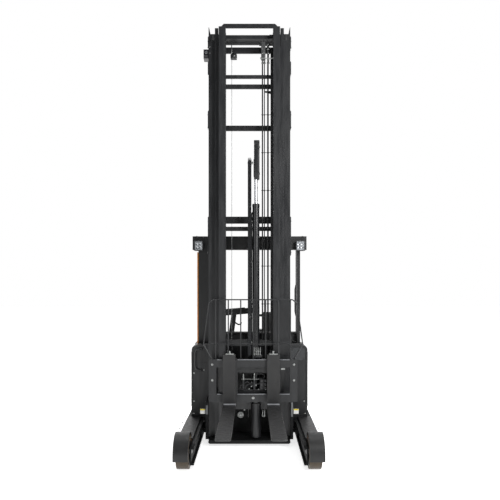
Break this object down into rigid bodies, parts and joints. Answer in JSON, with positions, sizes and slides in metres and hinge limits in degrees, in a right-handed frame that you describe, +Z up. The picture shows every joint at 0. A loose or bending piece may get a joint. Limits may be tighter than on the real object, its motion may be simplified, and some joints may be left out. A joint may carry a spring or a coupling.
{
  "type": "reach truck",
  "caption": "Electric reach truck with a three-stage mast that slides forward between two reach legs, a tilting side-shift fork carriage and an open cab with a sideways seat.",
  "frame": {"origin": "centre of the overall box at floor level", "axes": "+Z up along the mast, forks point towards -Y, +X is the truck's left"},
  "size_m": [1.288, 2.54, 4.16],
  "materials": {
    "mast_paint": "satin near-black paint",
    "carriage_paint": "satin black paint",
    "chassis_paint": "satin dark grey paint",
    "fork_paint": "black forged steel paint",
    "side_paint": "gloss orange-yellow paint",
    "guard_paint": "satin black paint",
    "wheel_tread": "brown polyurethane",
    "drive_tread": "brown polyurethane",
    "hub_metal": "machined cast iron",
    "rod_chrome": "ground and hard-chromed",
    "cylinder_paint": "satin black paint",
    "chain_steel": "oiled steel",
    "pin_steel": "bright steel",
    "hose_rubber": "black rubber",
    "motor_metal": "painted casting",
    "cover_plastic": "textured dark plastic",
    "grip_plastic": "soft black plastic",
    "seat_cloth": "dark woven seat cloth",
    "lamp_shell": "lamp glass and housing",
    "sensor_plastic": "black plastic"
  },
  "bodies": {
    "chassis": {"load_axles": "pin_steel", "reach_legs": "chassis_paint", "load_guards": "chassis_paint", "chassis_frame": "chassis_paint", "battery": "motor_metal", "battery_wall": "cover_plastic", "rear_body": "side_paint", "dashboard": "cover_plastic", "armrest": "grip_plastic", "steering_column": "cover_plastic", "seat_base": "cover_plastic", "seat_cushion": "seat_cloth", "seat_rest": "seat_cloth", "overhead_guard": "guard_paint", "side_panel": "side_paint", "work_lamps": "lamp_shell", "reach_cylinder": "cylinder_paint"},
    "load_wheel_left": {"load_tyre_left": "wheel_tread", "load_hub_left": "hub_metal"},
    "load_wheel_right": {"load_tyre_right": "wheel_tread", "load_hub_right": "hub_metal"},
    "drive_unit": {"drive_unit": "motor_metal", "drive_motor": "motor_metal"},
    "drive_wheel": {"drive_tyre": "drive_tread", "drive_hub": "hub_metal"},
    "steering_wheel": {"steering_wheel": "grip_plastic"},
    "reach_carriage": {"reach_carriage": "carriage_paint", "reach_rod": "rod_chrome", "mast_outer": "mast_paint", "lift_cylinders": "cylinder_paint", "mast_sensor": "sensor_plastic"},
    "middle_stage": {"mast_middle": "mast_paint", "lift_rods": "rod_chrome"},
    "inner_stage": {"mast_inner": "mast_paint", "free_cylinder": "cylinder_paint", "mast_hoses": "hose_rubber"},
    "free_lift_ram": {"free_ram": "rod_chrome", "chain_sheave": "pin_steel", "chain_back": "chain_steel"},
    "lift_carriage": {"lift_carriage": "carriage_paint", "chain_front": "chain_steel"},
    "tilt_frame": {"tilt_frame": "carriage_paint"},
    "fork_carriage": {"fork_carriage": "carriage_paint", "forks": "fork_paint", "load_backrest": "carriage_paint"}
  },
  "joints": [
    {"name": "load_wheel_left_spin", "type": "hinge", "parent": "chassis", "child": "load_wheel_left", "pos_m": [0.562, -0.612, 0.1425], "axis": [1, 0, 0], "continuous": true},
    {"name": "load_wheel_right_spin", "type": "hinge", "parent": "chassis", "child": "load_wheel_right", "pos_m": [-0.562, -0.612, 0.1425], "axis": [1, 0, 0], "continuous": true},
    {"name": "drive_steer", "type": "hinge", "parent": "chassis", "child": "drive_unit", "pos_m": [-0.1, 0.948, 0.172], "axis": [0, 0, 1], "range_deg": [-95, 95]},
    {"name": "drive_wheel_spin", "type": "hinge", "parent": "drive_unit", "child": "drive_wheel", "pos_m": [-0.1, 0.948, 0.172], "axis": [1, 0, 0], "continuous": true},
    {"name": "steering_wheel_turn", "type": "hinge", "parent": "chassis", "child": "steering_wheel", "pos_m": [0.18, 1.098, 1.215], "axis": [0, 0, 1], "continuous": true},
    {"name": "reach", "type": "slide", "parent": "chassis", "child": "reach_carriage", "axis": [0, -1, 0], "range_m": [0, 0.62]},
    {"name": "main_lift", "type": "slide", "parent": "reach_carriage", "child": "middle_stage", "axis": [0, 0, 1], "range_m": [0, 3.1]},
    {"name": "inner_lift", "type": "slide", "parent": "middle_stage", "child": "inner_stage", "axis": [0, 0, 1], "range_m": [0, 3.1]},
    {"name": "free_lift", "type": "slide", "parent": "inner_stage", "child": "lift_carriage", "axis": [0, 0, 1], "range_m": [-0.37, 2.08], "deforming": ["chain_front"]},
    {"name": "free_ram_lift", "type": "slide", "parent": "inner_stage", "child": "free_lift_ram", "axis": [0, 0, 1], "range_m": [-0.185, 1.04]},
    {"name": "fork_tilt", "type": "hinge", "parent": "lift_carriage", "child": "tilt_frame", "pos_m": [0, -0.002, 0.838], "axis": [1, 0, 0], "range_deg": [-4, 1.5]},
    {"name": "side_shift", "type": "slide", "parent": "tilt_frame", "child": "fork_carriage", "axis": [1, 0, 0], "range_m": [-0.075, 0]}
  ],
  "couplings": [
    {"joint": "inner_lift", "follows": "main_lift", "ratio": 1},
    {"joint": "free_ram_lift", "follows": "free_lift", "ratio": 0.5}
  ]
}
